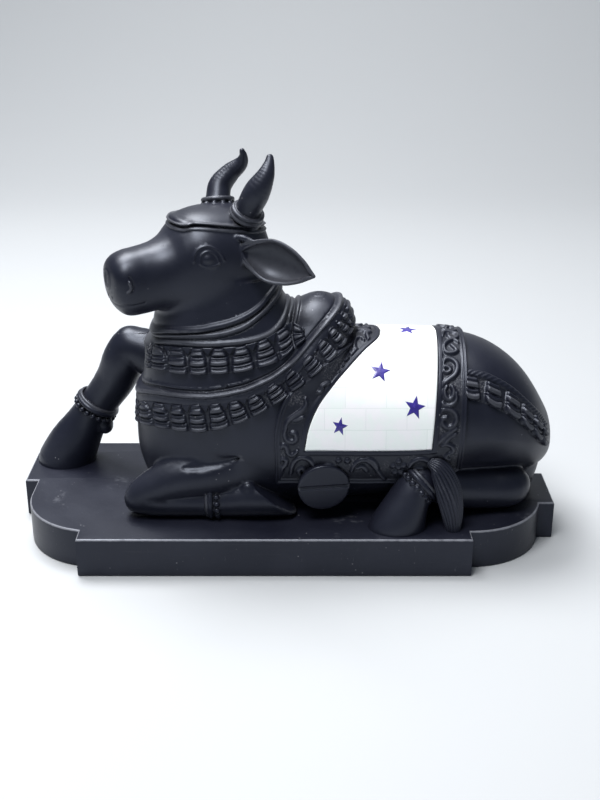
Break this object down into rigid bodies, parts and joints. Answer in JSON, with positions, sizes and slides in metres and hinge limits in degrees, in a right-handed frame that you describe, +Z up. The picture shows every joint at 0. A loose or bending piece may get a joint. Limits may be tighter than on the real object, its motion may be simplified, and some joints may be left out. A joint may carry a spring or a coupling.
{
  "type": "recumbent bull figure",
  "caption": "Cast figure of a resting bull with turned head, raised foreleg, garlands and inlaid saddle, in one piece with its stepped plinth.",
  "frame": {"origin": "middle of the underside of the plinth", "axes": "+Z up, +X along the plinth from the chest to the rump, so the bull faces -X and turns its head towards -Y"},
  "size_m": [0.38, 0.1526, 0.27],
  "materials": {
    "casting": "satin charcoal black cast resin with stone dust, worn lighter on edges",
    "pearl": "bright mother-of-pearl mosaic in small laid tiles",
    "lapis": "deep violet blue inlay, polished"
  },
  "bodies": {
    "root": {"nandi_bull_and_plinth": "casting", "pearl_saddle_field": "pearl", "blue_star_1": "lapis", "blue_star_2": "lapis", "blue_star_3": "lapis", "blue_star_4": "lapis", "blue_star_5": "lapis", "blue_star_6": "lapis", "blue_star_7": "lapis"}
  },
  "joints": []
}
